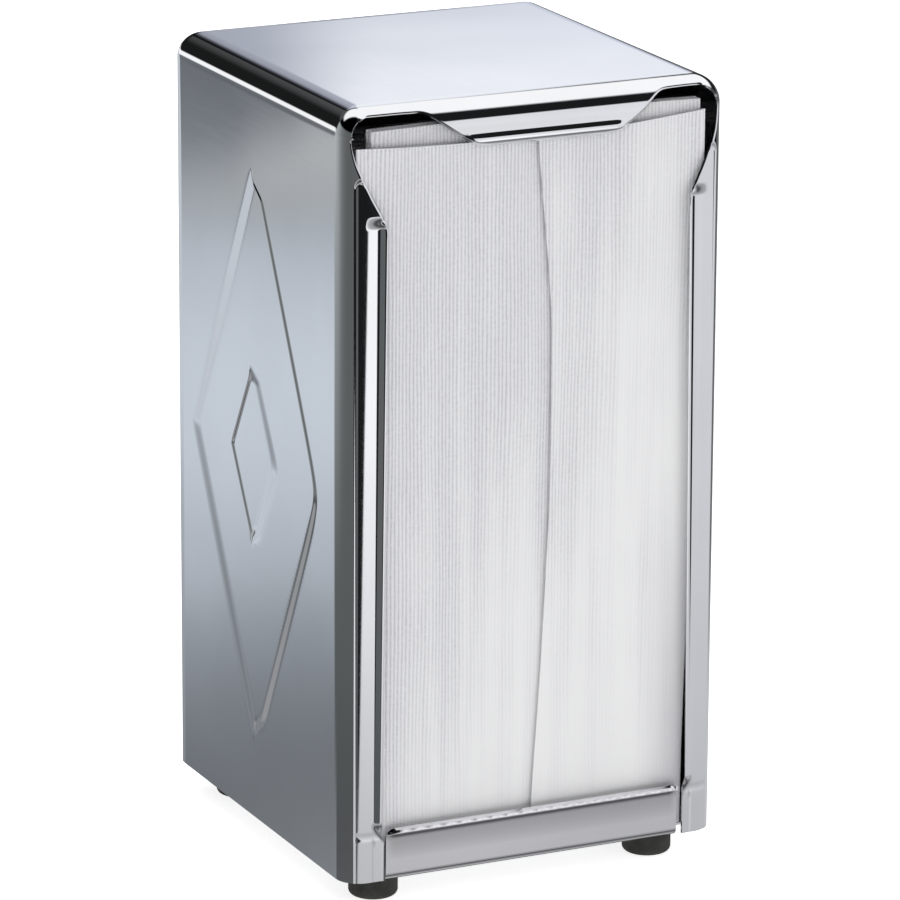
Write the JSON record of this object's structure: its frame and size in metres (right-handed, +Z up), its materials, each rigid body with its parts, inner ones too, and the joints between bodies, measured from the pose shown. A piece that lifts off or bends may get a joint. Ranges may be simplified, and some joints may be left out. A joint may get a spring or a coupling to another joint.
{
  "type": "napkin dispenser",
  "caption": "Two-sided tabletop dispenser for tall-fold napkins: a chromed arch-shaped casing on a base pan with rubber feet, and two sprung follower plates that push the napkins outwards.",
  "frame": {"origin": "under the middle of the body, on the plane that the four feet stand on", "axes": "+Z up, X across the width, -Y out of the front window that the picture shows, +Y out of the rear window"},
  "size_m": [0.0974, 0.105, 0.1905],
  "materials": {
    "chrome": "bright chrome plate on formed sheet steel",
    "pan_chrome": "satin-bright chrome plate",
    "plate": "plain plated sheet steel",
    "spring": "bright drawn spring wire",
    "rivet": "plated steel",
    "rubber": "matt dark olive-grey rubber",
    "napkin": "white, linen-embossed tissue paper"
  },
  "bodies": {
    "body": {"casing": "chrome", "base_pan": "pan_chrome", "divider_plate": "plate", "divider_rivet_left": "rivet", "divider_rivet_right": "rivet", "spring_rivet_lower": "rivet", "spring_rivet_upper": "rivet", "foot_front_left": "rubber", "foot_washer_front_left": "rivet", "foot_rivet_front_left": "rivet", "foot_front_right": "rubber", "foot_washer_front_right": "rivet", "foot_rivet_front_right": "rivet", "front_spring_lower": "spring", "spring_washer_front_lower": "rivet", "front_spring_upper": "spring", "spring_washer_front_upper": "rivet", "front_napkin_stack": "napkin", "front_napkin": "napkin", "foot_rear_left": "rubber", "foot_washer_rear_left": "rivet", "foot_rivet_rear_left": "rivet", "foot_rear_right": "rubber", "foot_washer_rear_right": "rivet", "foot_rivet_rear_right": "rivet", "rear_spring_lower": "spring", "spring_washer_rear_lower": "rivet", "rear_spring_upper": "spring", "spring_washer_rear_upper": "rivet", "rear_napkin_stack": "napkin", "rear_napkin": "napkin"},
    "front_follower": {"front_follower": "plate"},
    "rear_follower": {"rear_follower": "plate"}
  },
  "joints": [
    {"name": "front_follower_slide", "type": "slide", "parent": "body", "child": "front_follower", "axis": [0, -1, 0], "range_m": [0, 0.0348], "stiffness_N_per_m": 60, "springref_m": 0.05, "deforming": ["front_spring_lower", "front_spring_upper", "front_napkin_stack"]},
    {"name": "rear_follower_slide", "type": "slide", "parent": "body", "child": "rear_follower", "axis": [0, 1, 0], "range_m": [0, 0.0348], "stiffness_N_per_m": 60, "springref_m": 0.05, "deforming": ["rear_spring_lower", "rear_spring_upper", "rear_napkin_stack"]}
  ]
}
